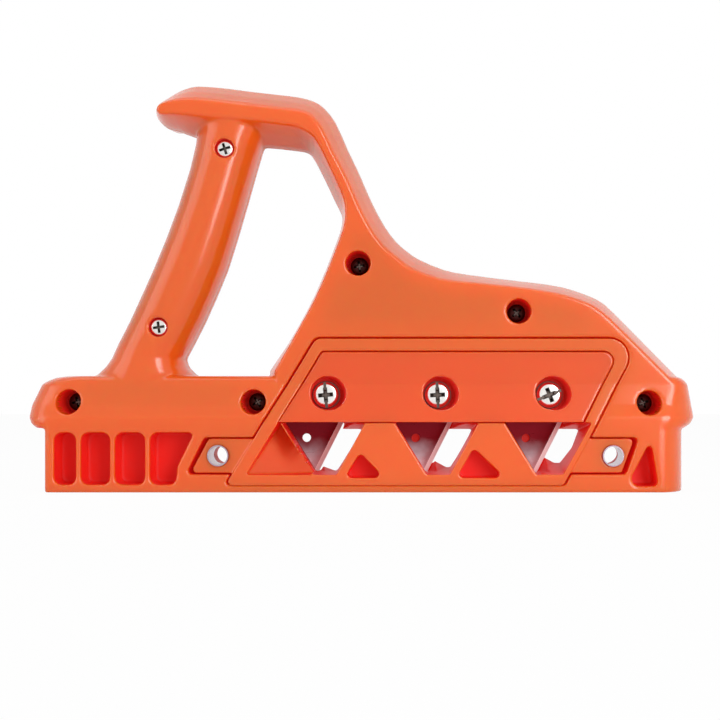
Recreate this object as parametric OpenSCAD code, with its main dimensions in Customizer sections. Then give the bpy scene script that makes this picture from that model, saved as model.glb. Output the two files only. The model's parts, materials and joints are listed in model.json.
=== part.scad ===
// Drywall edge plane: two moulded shells, a blade carrier and three trapezoid blades.
// +X points to the nose, -Y is the side with the blades, +Z is up, and the sole is at z = 0.

/* [Body] */
// Length over the tail and the nose
body_length = 242; // [225:1:260]
// Height from the sole to the top of the hood
body_height = 149.5; // [144:0.5:156]
// Depth of each half at the base
base_depth = 22.5; // [22:0.25:25]
// Depth of each half above the flared skirt
upper_depth = 18; // [17:0.25:19]
// Height of the lower bend, where the skirt ends
bend_low = 24.4; // [24:0.1:25]
// Height of the upper bend, where the skirt starts
bend_high = 38.6; // [37.5:0.1:39.5]
// Wall of the shells
wall = 2.6; // [2:0.1:3]
// Thickness of the floor under the carrier
sole_floor = 2.4; // [2:0.1:2.8]
// Radius that softens the edges of the base
edge_round = 2; // [1:0.1:2.5]

/* [Grip] */
// Half thickness of the hand grip
grip_half = 16.5; // [15:0.25:17.5]
// Squareness of the grip's section, 2 is an ellipse
grip_power = 2.4; // [2:0.1:3]

/* [Guide groove] */
// Depth of the groove's sharp corner in front of the parting plane
groove_reach = 9; // [8.6:0.1:9.4]
// Height of the groove's corner above the sole
groove_height = 15.7; // [15.4:0.1:16]

/* [Carrier] */
// Gap between the carrier and the shell
carrier_gap = 0.5; // [0.3:0.05:0.7]
// Extra gap past the ends of the ears
ear_end_gap = 1.1; // [0.6:0.1:1.4]
// Thickness of the ears
ear_thick = 10; // [9:0.25:10.5]
// Depth of the cored pockets in the base
pocket_depth = 10.5; // [8:0.5:11]
// Thickness of the ribs between the tail pockets
rib = 1.8; // [1.4:0.1:2.4]

/* [Blades] */
// Length of a blade along its cutting edge
blade_length = 53.3; // [53:0.1:53.6]
// Width of a blade from edge to back
blade_width = 19; // [18.8:0.1:19.2]
// Thickness of a blade
blade_thick = 0.63; // [0.55:0.01:0.7]
// Length of a blade along its back
blade_back = 29.9; // [29:0.1:31]
// Width of the ground bevel
bevel_width = 1.8; // [1.4:0.1:2.2]
// Diameter of the middle hole
blade_hole = 7.5; // [7.4:0.05:7.8]
// Diameter of the two small holes
blade_eye = 3.2; // [2.8:0.1:3.4]
// Angle of the cutting edges above the sole
blade_angle = 63.2; // [62.8:0.1:63.6]
// Tilt of the blades about their edges
blade_tilt = 12; // [11.5:0.1:12.5]
// Distance between two blades along the sole
blade_pitch = 40.3; // [40:0.1:40.6]
// Gap under a blade and over it
blade_gap = 0.03; // [0.02:0.01:0.06]

/* [Clamp] */
// Gap round the clamp plate
clamp_gap = 0.35; // [0.25:0.05:0.45]
// Depth of the screw seat behind the parting plane's front
seat_depth = 11.6; // [11.2:0.1:12]
// Thickness of the clamp plate behind its screw seats
clamp_back = 12.4; // [12.1:0.1:12.8]

/* [Clamp screws] */
// Diameter of the clamp screws
screw_d = 5; // [4.8:0.1:5.1]
// Diameter of the pan heads
head_d = 9.2; // [8.6:0.1:9.6]
// Height of the pan heads
head_h = 3.6; // [3.2:0.1:3.8]
// Outer diameter of the washers
washer_d = 10; // [9.8:0.1:10.2]
// Thickness of the washers
washer_h = 1; // [0.8:0.1:1.2]
// Nut size across its flats
nut_flats = 8; // [7.6:0.1:8.2]
// Height of the nuts
nut_h = 4; // [3.6:0.1:4.2]
// Radial gap between a screw and its nut or washer
thread_gap = 0.05; // [0.03:0.01:0.08]

/* [Shell screws] */
// Diameter of the counterbores in the body
bore_d = 8.9; // [8.4:0.1:9.2]
// Diameter of the shell screws' heads
small_head_d = 6.6; // [6:0.1:7]
// Diameter of the shell screws
small_screw_d = 3.5; // [3:0.1:3.8]
// Distance of the seats of the body screws from the parting plane
seat_body = 4.2; // [3.8:0.1:4.6]
// Distance of the seats of the grip screws from the parting plane
seat_grip = 12; // [11.5:0.1:12.5]
// Length of an upper shell screw past the parting plane
bite = 9; // [8:0.5:10]
// Length of a lower shell screw past the parting plane
bite_low = 4.5; // [4:0.1:5]

/* [Sleeves] */
// Outer diameter of the steel sleeves
sleeve_d = 7.5; // [7.2:0.1:7.8]
// Inner diameter of the steel sleeves
sleeve_bore = 6.6; // [6.2:0.1:6.8]
// Length of the steel sleeves
sleeve_length = 12.5; // [12:0.1:13]

/* [Hidden] */
$fn = 48;

over = body_height / 60;
fit = blade_gap;
past = wall / 3;

// Body, strut and hood as one loop: ridge x, ridge z, face x, face z, as shares of length and height.
loop_shares = [
    [-0.140, 0.240, -0.124, 0.240], [-0.147, 0.291, -0.130, 0.288], [-0.119, 0.357, -0.107, 0.355],
    [-0.100, 0.409, -0.089, 0.408], [-0.082, 0.464, -0.071, 0.462], [-0.064, 0.529, -0.053, 0.528],
    [-0.046, 0.603, -0.035, 0.602], [-0.037, 0.646, -0.027, 0.646], [-0.036, 0.676, -0.026, 0.679],
    [-0.045, 0.706, -0.029, 0.712], [-0.064, 0.771, -0.047, 0.779], [-0.081, 0.823, -0.070, 0.853],
    [-0.089, 0.834, -0.087, 0.873], [-0.100, 0.838, -0.105, 0.885], [-0.138, 0.845, -0.145, 0.894],
    [-0.157, 0.847, -0.186, 0.901], [-0.207, 0.853, -0.227, 0.906], [-0.262, 0.873, -0.262, 0.909],
    [-0.285, 0.888, -0.285, 0.910], [-0.306, 0.898, -0.298, 0.907], [-0.317, 0.915, -0.304, 0.911],
    [-0.320, 0.935, -0.305, 0.918], [-0.314, 0.952, -0.302, 0.926], [-0.303, 0.967, -0.295, 0.931],
    [-0.285, 0.986, -0.281, 0.935], [-0.266, 0.998, -0.260, 0.937], [-0.248, 1.000, -0.236, 0.935],
    [-0.211, 0.995, -0.198, 0.928], [-0.174, 0.987, -0.165, 0.921], [-0.119, 0.977, -0.114, 0.912],
    [-0.095, 0.971, -0.095, 0.908], [-0.076, 0.961, -0.083, 0.902], [-0.062, 0.945, -0.075, 0.891],
    [-0.045, 0.910, -0.063, 0.866], [-0.027, 0.845, -0.048, 0.813], [-0.008, 0.780, -0.028, 0.753],
    [0.010, 0.713, -0.011, 0.690], [0.029, 0.655, 0.006, 0.635], [0.047, 0.615, 0.025, 0.591],
    [0.065, 0.589, 0.048, 0.559], [0.084, 0.569, 0.072, 0.530], [0.121, 0.544, 0.114, 0.506],
    [0.158, 0.532, 0.155, 0.499], [0.231, 0.517, 0.225, 0.488], [0.268, 0.510, 0.260, 0.480],
    [0.305, 0.500, 0.295, 0.469], [0.342, 0.480, 0.329, 0.451], [0.361, 0.465, 0.345, 0.436],
    [0.379, 0.440, 0.364, 0.412], [0.434, 0.350, 0.414, 0.333], [0.484, 0.268, 0.458, 0.262],
    [0.484, 0.240, 0.458, 0.240]];
loop_steps = 2;
ring_shares = [[1, 0], [0.985, 0.07], [0.93, 0.17], [0.6, 0.53], [0.18, 0.92], [0, 1]];

// Skirt rings: height, tail x and nose x at the ridge, nose x at the face, depth.
skirt_height_shares = [0, 0.05, 0.2, 0.5, 1, 1.09, 1.16, 1.2];
skirt_tail_shares = [-0.486, -0.495, -0.5, -0.4985, -0.486, -0.477, -0.467, -0.452];
skirt_nose_shares = [0.486, 0.495, 0.5, 0.4965, 0.4905, 0.486, 0.480, 0.470];
skirt_face_shares = [0.437, 0.4395, 0.441, 0.447, 0.4585, 0.458, 0.455, 0.448];
skirt_corner_shares = [0.03, 0.035, 0.042, 0.042, 0.042, 0.042, 0.042, 0.042];
ledge = bend_low - over * 0.6;
skirt_span = bend_high - bend_low;

// Grip sections: height, left edge, right edge.
grip_shares = [
    [0.230, -0.440, -0.232], [0.268, -0.424, -0.246], [0.284, -0.407, -0.261], [0.302, -0.395, -0.272],
    [0.322, -0.386, -0.276], [0.355, -0.377, -0.265], [0.412, -0.359, -0.247], [0.479, -0.340, -0.2285],
    [0.544, -0.322, -0.212], [0.616, -0.3035, -0.198], [0.696, -0.285, -0.1835], [0.785, -0.2675, -0.168],
    [0.843, -0.259, -0.1575], [0.876, -0.256, -0.149], [0.940, -0.254, -0.140]];
grip_flare_shares = [1.09, 1.07, 1.04, 1.02, 1, 1, 1, 1, 1, 1, 1, 1, 1, 1, 1];
grip_sides = 18;

// Screw places, as shares of length and height.
body_screw_shares = [[-0.4355, 0.2155], [-0.1625, 0.2155], [-0.008, 0.5485], [0.2305, 0.4335], [0.4225, 0.213]];
grip_screw_shares = [[-0.2075, 0.827], [-0.306, 0.396]];
TAIL = 0;
HEEL = 1;
THROAT = 2;
BROW = 3;
NOSE = 4;
function spot(s) = [s[0] * body_length, s[1] * body_height];

// Carrier outline.
ear_top = body_height * 0.128;
ear_low = body_height * 0.0462;
rail_low = sole_floor + fit * 4;
blade_top = body_height * 0.0378 + blade_length * sin(blade_angle);
carrier_top = blade_top + over * 0.7;
rear_foot = -body_length * 0.2023;
rear_lean = 0.61;
front_foot = body_length * 0.2945;
front_lean = 0.544;
function rear_line(z) = rear_foot + (z - rail_low) * rear_lean;
function front_line(z) = front_foot + (z - rail_low) * front_lean;
ear_rear_top = -body_length * 0.2265;
ear_rear_low = -body_length * 0.2535;
ear_front_top = body_length * 0.399;
ear_front_low = body_length * 0.380;
sleeve_rear_at = [-body_length * 0.2128, body_height * 0.0876];
sleeve_front_at = [body_length * 0.3678, body_height * 0.087];
corner_big = body_height * 0.046;
corner_small = body_height * 0.009;

// Clamp outline.
clamp_low = bend_low + fit * 20;
border = body_length * 0.0215;
clamp_top = carrier_top - border * 0.92;

// Blade places: the rear blade's tip, and the plane of each cutting edge.
tip_rear = [-body_length * 0.0731, blade_top - blade_length * sin(blade_angle)];
cut_planes = [groove_reach * -0.055, groove_reach * -0.367, groove_reach * -0.611];
hole_line = blade_width * 0.516;
eye_step = blade_length * 0.3096;
notch_step = blade_length * 0.1295;
notch_w = blade_width * 0.216;
notch_deep = blade_width * 0.22;
column = blade_gap * 12;
function tip(i) = [tip_rear[0] + i * blade_pitch, tip_rear[1]];
function edge_line(i, z) = tip(i)[0] + (z - tip(i)[1]) / tan(blade_angle);
end_angle = blade_angle - 90 + atan(2 * blade_width / (blade_length - blade_back));
function end_line(i, z) = tip(i)[0] - (z - tip(i)[1]) * tan(end_angle);

// The clamp screws pass the blades' middle holes a little above their centres.
screw_rise = (blade_hole - screw_d) / 2 - 0.15 * blade_thick;
function screw_at(i) = [
    tip(i)[0] + blade_length / 2 * cos(blade_angle) - hole_line * cos(blade_tilt) * sin(blade_angle)
        + screw_rise * 0.49,
    tip(i)[1] + blade_length / 2 * sin(blade_angle) + hole_line * cos(blade_tilt) * cos(blade_angle)
        + screw_rise * 0.83];
function eye_at(i) = let (along = blade_length / 2 - eye_step, up = hole_line * cos(blade_tilt)) [
    tip(i)[0] + along * cos(blade_angle) - up * sin(blade_angle),
    tip(i)[1] + along * sin(blade_angle) + up * cos(blade_angle)];
nut_front = thread_gap * 6;
screw_end = nut_front + nut_h;

function flat(list) = [for (part = list) for (item = part) item];
function unit(v) = v / norm(v);

// Rounds each corner of an outline with its own radius.
function rounded(points, radii, steps = 8) = flat([for (k = [0:len(points) - 1])
    let (
        here = points[k],
        before = unit(points[(k + len(points) - 1) % len(points)] - here),
        after = unit(points[(k + 1) % len(points)] - here),
        r = radii[k],
        bend = acos(max(-1, min(1, before * after))) / 2,
        reach = r <= 0 ? 0 : r / tan(bend),
        start = here + before * reach,
        end = here + after * reach,
        middle = r <= 0 ? here : here + unit(before + after) * (r / sin(bend)),
        a0 = atan2(start[1] - middle[1], start[0] - middle[0]),
        turn = atan2(end[1] - middle[1], end[0] - middle[0]) - a0,
        sweep = turn > 180 ? turn - 360 : turn < -180 ? turn + 360 : turn
    )
    r <= 0 ? [here] : [for (s = [0:steps])
        middle + r * [cos(a0 + sweep * s / steps), sin(a0 + sweep * s / steps)]]]);

// A smooth curve through the four neighbours of a stretch.
function curve(a, b, c, d, t) = 0.5 * ((2 * b) + (c - a) * t + (2 * a - 5 * b + 4 * c - d) * t * t
    + (3 * b - a - 3 * c + d) * t * t * t);
// The stretch between the first and the last three points is curved, the rest stays straight.
function smooth_loop(points, steps) = let (n = len(points)) flat([for (k = [0:n - 1])
    k < 2 || k > n - 4 ? [points[k]] : [for (s = [0:steps - 1])
        curve(points[k - 1], points[k], points[k + 1], points[k + 2], s / steps)]]);

// A slab between two depths with an outline given as x and z.
module slab(front, back, points) {
    translate([0, back, 0])
        rotate([90, 0, 0])
            linear_extrude(back - front)
                polygon(points);
}

// A round bar along Y between two depths.
module bar(at, front, back, d) {
    translate([at[0], back, at[1]])
        rotate([90, 0, 0])
            cylinder(d = d, h = back - front);
}

// A closed skin over rings with equal counts of points.
module skin(rings) {
    n = len(rings[0]);
    last = len(rings) - 1;
    sides = flat([for (r = [0:last - 1]) flat([for (k = [0:n - 1])
        [[r * n + k, (r + 1) * n + k, r * n + (k + 1) % n],
         [r * n + (k + 1) % n, (r + 1) * n + k, (r + 1) * n + (k + 1) % n]]])]);
    first_cap = [[for (k = [0:n - 1]) k]];
    last_cap = [[for (k = [n - 1:-1:0]) last * n + k]];
    polyhedron(flat(rings), concat(sides, first_cap, last_cap));
}

// Upper body, strut and hood: sloped from the ridge at the parting plane to the flat face.
module upper_form() {
    loop = smooth_loop([for (p = loop_shares)
        [p[0] * body_length, p[1] * body_height, p[2] * body_length, p[3] * body_height]], loop_steps);
    difference() {
        skin(concat(
            [[for (p = loop) [p[2], -upper_depth - past, p[3]]]],
            [for (s = ring_shares)
                [for (p = loop) [p[2] + (p[0] - p[2]) * s[1], -upper_depth * s[0], p[3] + (p[1] - p[3]) * s[1]]]],
            [[for (p = loop) [p[0], past, p[1]]]]));
        slab(-body_height, -upper_depth, [[-body_length, 0], [-body_length, 2 * body_height],
            [body_length, 2 * body_height], [body_length, 0]]);
    }
}

// Base and flared skirt: square at the tail, bowed at the nose, with a ledge where the skirt overhangs.
tail_base = -body_length * 0.4685;
nose_base_face = body_length * 0.4368;
nose_base = body_length * 0.4806;
function plan(z, tail, nose, face, corner, deep) = concat(
    [[tail, past * 1.5, z]],
    [for (a = [0:15:90]) [tail + corner * (1 - cos(a)), -deep + corner * (1 - sin(a)), z]],
    [for (a = [0:10:90]) [face + (nose - face) * sin(a), -deep * pow(cos(a), 0.8), z]],
    [[nose, past * 1.5, z]]);
module lower_form() {
    deep = [base_depth, base_depth, base_depth, (base_depth + upper_depth) / 2, upper_depth - fit,
        upper_depth - over * 0.25, upper_depth - over * 0.6, upper_depth - over * 1.2];
    skin(concat(
        [for (z = [0, ledge - over * 0.02]) plan(z, tail_base, nose_base, nose_base_face, edge_round, base_depth)],
        [for (k = [0:len(deep) - 1])
            plan(k == 0 ? ledge : bend_low + skirt_span * (skirt_height_shares[k] - 0.05) / 0.95,
                skirt_tail_shares[k] * body_length, skirt_nose_shares[k] * body_length,
                skirt_face_shares[k] * body_length, skirt_corner_shares[k] * body_length, deep[k])]));
}

// Hand grip between the body and the hood, half of it in front of the parting plane.
module grip_form() {
    skin([for (k = [0:len(grip_shares) - 1])
        let (
            g = grip_shares[k],
            left = g[1] * body_length,
            right = g[2] * body_length,
            deep = grip_half * grip_flare_shares[k],
            z = g[0] * body_height
        )
        concat(
            [[left, past * 0.7, z]],
            [for (s = [0:grip_sides]) let (a = 180 * s / grip_sides)
                [(left + right) / 2 - (right - left) / 2 * sign(cos(a)) * pow(abs(cos(a)), 2 / grip_power),
                 -deep * pow(sin(a), 2 / grip_power), z]],
            [[right, past * 0.7, z]])]);
}

// Sole behind the parting plane, under the groove.
sole_back = groove_height - groove_reach;
module sole_block() {
    linear_extrude(sole_back)
        polygon([[tail_base, -over], [nose_base, -over], [nose_base, over / 2],
            [nose_base - over, sole_back + over], [tail_base + over, sole_back + over], [tail_base, over / 2]]);
}

// Everything behind the parting plane, down to the lower face of the groove.
module behind() {
    translate([-body_length, 0, 0])
        rotate([90, 0, 90])
            linear_extrude(2 * body_length)
                polygon([[0, 2 * body_height], [0, sole_back], [body_height, sole_back - body_height],
                    [body_height, 2 * body_height]]);
}

// The groove: a square corner, flattened at each blade's cutting plane towards the tail.
module groove_prism() {
    reach = body_height;
    translate([-body_length, 0, 0])
        rotate([90, 0, 90])
            linear_extrude(2 * body_length)
                polygon([[-groove_reach, groove_height], [reach, groove_height + reach + groove_reach],
                    [reach, groove_height - reach - groove_reach]]);
}
module groove() {
    low = -over;
    high = body_height / 3;
    lines = [-body_length, edge_line(0, low), edge_line(1, low), edge_line(2, low), body_length];
    tops = [-body_length, edge_line(0, high), edge_line(1, high), edge_line(2, high), body_length];
    floors = [cut_planes[0], cut_planes[1], cut_planes[2], -groove_reach - over];
    intersection() {
        groove_prism();
        union()
            for (k = [0:3])
                slab(floors[k], body_height, [[lines[k], low], [lines[k + 1], low], [tops[k + 1], high],
                    [tops[k], high]]);
    }
}

// Carrier outline, grown by a gap: the deep middle and the two shallow ears.
function middle_outline(g) = rounded([
        [rear_line(rail_low) - g * 1.2, rail_low - g * 0.2],
        [rear_line(carrier_top) - g * 1.2, carrier_top + g],
        [front_line(carrier_top) + g * 1.2, carrier_top + g],
        [front_line(rail_low) + g * 1.2, rail_low - g * 0.2]],
    [corner_small, corner_small * 2.4 + g, corner_big + g, corner_small]);
function ear_outline(g, e) = rounded([
        [ear_rear_low - g - e, ear_low - g],
        [ear_rear_top - g - e, ear_top + g],
        [ear_front_top + g + e, ear_top + g],
        [ear_front_low + g + e, ear_low - g]],
    [corner_small, corner_small, corner_small, corner_small]);

// Clamp plate outline, grown by a gap.
function clamp_outline(g) = rounded([
        [rear_line(clamp_low) + border - g * 1.2, clamp_low - g],
        [rear_line(clamp_top) + border - g * 1.2, clamp_top + g],
        [front_line(clamp_top) - border + g * 1.2, clamp_top + g],
        [front_line(clamp_low) - border + g * 1.2, clamp_low - g]],
    [0, corner_small, corner_big * 0.5 + g, 0]);

// The face of the tool over the carrier: flat above the upper bend, flared below it.
module under_face(back) {
    translate([-body_length, 0, 0])
        rotate([90, 0, 90])
            linear_extrude(2 * body_length)
                polygon([[-base_depth, 0], [-base_depth, bend_low], [-upper_depth, bend_high],
                    [-upper_depth, body_height], [back, body_height], [back, 0]]);
}

// Counterbored hole for a shell screw, from the face to the parting plane.
module shell_bore(at, face, seat, d) {
    bar(at, -face - over, -seat, d);
    bar(at, -seat - over, over, small_screw_d + thread_gap * 8);
}

// Hollows of the upper body, strut and hood, as shares of length and height.
throat_shares = [[-0.062, 0.408], [-0.030, 0.530], [-0.013, 0.612], [0.008, 0.612], [0.035, 0.545],
    [0.075, 0.500], [0.130, 0.474], [0.210, 0.464], [0.290, 0.445], [0.330, 0.420], [0.350, 0.400]];
hood_shares = [[-0.245, 0.945], [-0.124, 0.930], [-0.092, 0.920], [-0.060, 0.868], [-0.024, 0.745],
    [-0.008, 0.690], [-0.022, 0.684], [-0.042, 0.740], [-0.070, 0.836], [-0.095, 0.876], [-0.124, 0.884],
    [-0.245, 0.906]];
heel_shares = [[-0.41, 0.185], [-0.41, 0.250], [-0.185, 0.250], [-0.185, 0.185]];
function places(shares) = [for (s = shares) spot(s)];
hood_hollow = upper_depth * 0.6;
grip_wall_share = 0.019;

module hollows() {
    slab(wall - upper_depth, over, places(throat_shares));
    slab(-hood_hollow, over, places(hood_shares));
    slab(wall - upper_depth, over, places(heel_shares));
    slab(wall * 2 - grip_half, over, places(concat(
        [for (k = [5:12]) [grip_shares[k][1] + grip_wall_share, grip_shares[k][0]]],
        [for (k = [12:-1:5]) [grip_shares[k][2] - grip_wall_share, grip_shares[k][0]]])));
}

boss_d = small_screw_d + 2 * wall + over;
module bosses(depth) {
    for (s = body_screw_shares)
        bar(spot(s), -depth, 0, bore_d + 2 * wall * 0.8);
    for (s = grip_screw_shares)
        bar(spot(s), -depth * 0.9, 0, boss_d);
}

// Cored pockets in the base: four at the tail and a slanted one at the nose.
pocket_low = body_height * 0.0185;
pocket_high = body_height * 0.1425;
pocket_edges = [-0.4575, -0.4180, -0.3680, -0.3165, -0.2480];
nose_pocket_shares = [[0.3878, 0.0147], [0.4231, 0.1258], [0.4341, 0.0147]];
module pockets() {
    front = -base_depth - over;
    back = -base_depth + pocket_depth;
    r = corner_small * 2;
    for (k = [0:2])
        slab(front, back, rounded([
            [pocket_edges[k] * body_length + rib / 2, pocket_low],
            [pocket_edges[k] * body_length + rib / 2, pocket_high],
            [pocket_edges[k + 1] * body_length - rib / 2, pocket_high],
            [pocket_edges[k + 1] * body_length - rib / 2, pocket_low]], [r, r, r, r]));
    slab(front, back, rounded([
        [pocket_edges[3] * body_length + rib / 2, pocket_low],
        [pocket_edges[3] * body_length + rib / 2, pocket_high],
        [pocket_edges[4] * body_length, pocket_high],
        [pocket_edges[4] * body_length - over * 2.4, pocket_low + over * 2.6],
        [pocket_edges[4] * body_length - over * 2.6, pocket_low]], [r, r, r * 0.4, r, r]));
    slab(front, back, rounded(places(nose_pocket_shares), [r, r * 0.4, r * 0.6]));
}

module front_shell() {
    color([0.91, 0.44, 0.23])
    difference() {
        union() {
            upper_form();
            lower_form();
            grip_form();
            sole_block();
        }
        behind();
        difference() {
            hollows();
            bosses(upper_depth);
        }
        groove();
        pockets();
        slab(-body_height, over, middle_outline(carrier_gap));
        slab(-body_height, ear_thick - base_depth, ear_outline(carrier_gap, ear_end_gap));
        for (s = body_screw_shares)
            shell_bore(spot(s), base_depth, seat_body, bore_d);
        for (s = grip_screw_shares)
            shell_bore(spot(s), grip_half, seat_grip, small_head_d + thread_gap * 8);
        for (at = [sleeve_rear_at, sleeve_front_at]) {
            bar(at, -body_height, sleeve_length - base_depth, sleeve_d + 2 * thread_gap);
            bar(at, -base_depth, over * 4, sleeve_bore);
        }
    }
}

// Guide rail on the far side: it ends in front of the hand opening.
rail_face = groove_height + groove_reach + base_depth;
rail_crown = over * 3;
rail_shares = [[-0.44, 0.163], [-0.44, 0.2515], [-0.145, 0.2515], [-0.10, 0.37], [0.372, 0.37], [0.45, 0.2515],
    [0.45, 0.163]];
module back_form() {
    mirror([0, 1, 0]) {
        upper_form();
        lower_form();
        grip_form();
    }
    // Rail along the top of the guide face
    intersection() {
        translate([-body_length, 0, 0])
            rotate([90, 0, 90])
                linear_extrude(2 * body_length)
                    polygon([[past, bend_low], [base_depth, bend_low], [base_depth, rail_face],
                        [upper_depth - over, rail_face + rail_crown], [past, rail_face + rail_crown]]);
        slab(0, body_height, rounded(places(rail_shares), [0, over, over * 2, over * 2, over * 2, over, 0]));
    }
}

belly_shares = [[-0.150, 0.215], [-0.085, 0.375], [0.350, 0.375], [0.436, 0.265], [0.436, 0.215]];
module back_shell() {
    color([0.90, 0.40, 0.24])
    difference() {
        back_form();
        slab(-body_height, 0, [[-body_length, -over], [-body_length, 2 * body_height],
            [body_length, 2 * body_height], [body_length, -over]]);
        slab(-over, body_height, [[-body_length, -over], [-body_length, bend_low],
            [body_length, bend_low], [body_length, -over]]);
        difference() {
            mirror([0, 1, 0])
                hollows();
            mirror([0, 1, 0])
                bosses(upper_depth);
            translate([0, 0, wall * 1.42])
                groove_prism();
        }
        difference() {
            slab(-over, upper_depth - wall, places(belly_shares));
            mirror([0, 1, 0])
                bosses(upper_depth);
            for (i = [0:2])
                bar(screw_at(i), -over, upper_depth, nut_flats * 1.6);
            translate([0, 0, wall * 1.42])
                groove_prism();
        }
        groove_prism();
        for (k = [TAIL:NOSE])
            bar(spot(body_screw_shares[k]), -over, (k == THROAT || k == BROW ? bite : bite_low) + over * 0.2,
                small_screw_d + thread_gap * 2);
        for (s = grip_screw_shares)
            bar(spot(s), -over, bite + over * 0.4, small_screw_d + thread_gap * 2);
        for (i = [0:2]) {
            translate([screw_at(i)[0], -over, screw_at(i)[1]])
                rotate([-90, 0, 0])
                    cylinder(d = (nut_flats + 4 * thread_gap) / cos(30), h = over + nut_front + nut_h + thread_gap,
                        $fn = 6);
            bar(screw_at(i), -over, screw_end + thread_gap * 4, screw_d + thread_gap * 6);
        }
    }
}

// Places a shape on a blade: x along the cutting edge, y to the blade's back, z to the viewer.
module on_blade(i) {
    translate([tip(i)[0], cut_planes[i], tip(i)[1]])
        rotate([0, -blade_angle, 0])
            rotate([90 + blade_tilt, 0, 0])
                children();
}

// A blade's outline, grown by a gap.
function blade_outline(g) = let (side = (blade_length - blade_back) / 2) [
    [-g * 1.7, -g], [blade_length + g * 1.7, -g], [blade_length - side + g * 0.6, blade_width + g],
    [side - g * 0.6, blade_width + g]];

module blade(i) {
    color([0.42, 0.40, 0.41])
    on_blade(i)
        translate([0, 0, blade_gap])
            difference() {
                intersection() {
                    linear_extrude(blade_thick)
                        polygon(blade_outline(0));
                    rotate([90, 0, 90])
                        linear_extrude(blade_length)
                            polygon([[0, 0], [0, blade_thick * 0.1], [bevel_width, blade_thick],
                                [blade_width, blade_thick], [blade_width, 0]]);
                }
                translate([blade_length / 2, hole_line, -blade_thick])
                    cylinder(d = blade_hole, h = blade_thick * 3);
                for (s = [-1, 1]) {
                    translate([blade_length / 2 + s * eye_step, hole_line, -blade_thick])
                        cylinder(d = blade_eye, h = blade_thick * 3);
                    translate([blade_length / 2 + s * notch_step, blade_width - notch_deep + notch_w / 2, -blade_thick]) {
                        cylinder(d = notch_w, h = blade_thick * 3);
                        translate([-notch_w / 2, 0, 0])
                            cube([notch_w, notch_deep, blade_thick * 3]);
                    }
                }
            }
}
module blade_rear() { blade(0); }
module blade_middle() { blade(1); }
module blade_front() { blade(2); }

// Column over a blade, open to the viewer.
module blade_column(i, high) {
    on_blade(i)
        linear_extrude(high)
            polygon(blade_outline(column));
}

// Chip slot in front of a blade: it follows the edge and is cut square to it at the foot.
slot_top = bend_low - over * 1.2;
slot_wide = [body_length * 0.0335, body_length * 0.0345, body_length * 0.030];
slot_low_shares = [0.185, 0.4, 0.52];
mouth_low = ear_low - over * 0.25;
mouth_wide = [body_length * 0.0365, body_length * 0.033];
window_shifts = [over * 0.2, over * 0.2, -over * 0.3];
// Mouth of a chip slot at the face: it narrows to the slot behind it.
module chip_mouth(i) {
    hull() {
        slab(-base_depth - over, -base_depth, [
            [edge_line(i, clamp_low), clamp_low], [edge_line(i, clamp_low) + mouth_wide[0], clamp_low],
            [edge_line(i, mouth_low) + mouth_wide[1], mouth_low], [edge_line(i, mouth_low), mouth_low]]);
        slab(-groove_reach, over, slot_outline(i));
    }
}

function slot_outline(i) = let (
        z0 = tip(i)[1] + (slot_top - tip(i)[1]) * slot_low_shares[i],
        z1 = z0 - slot_wide[i] * 0.42
    ) [[edge_line(i, slot_top) - over * 0.1, slot_top],
        [edge_line(i, slot_top) + slot_wide[i], slot_top],
        [edge_line(i, z1) + slot_wide[i] * 0.9, max(z1, ear_low)],
        [edge_line(i, z0) - over * 0.1, z0 + over * 0.4]];

core_low = body_height * 0.0345;
core_high = [body_height * 0.096, body_height * 0.107];
core_steps = [[0.725, 0.585, 0.37], [0.735, 0.585, 0.3]];
core_floor = pocket_depth * 0.7 - base_depth;
core_round = over * 0.6;

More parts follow.
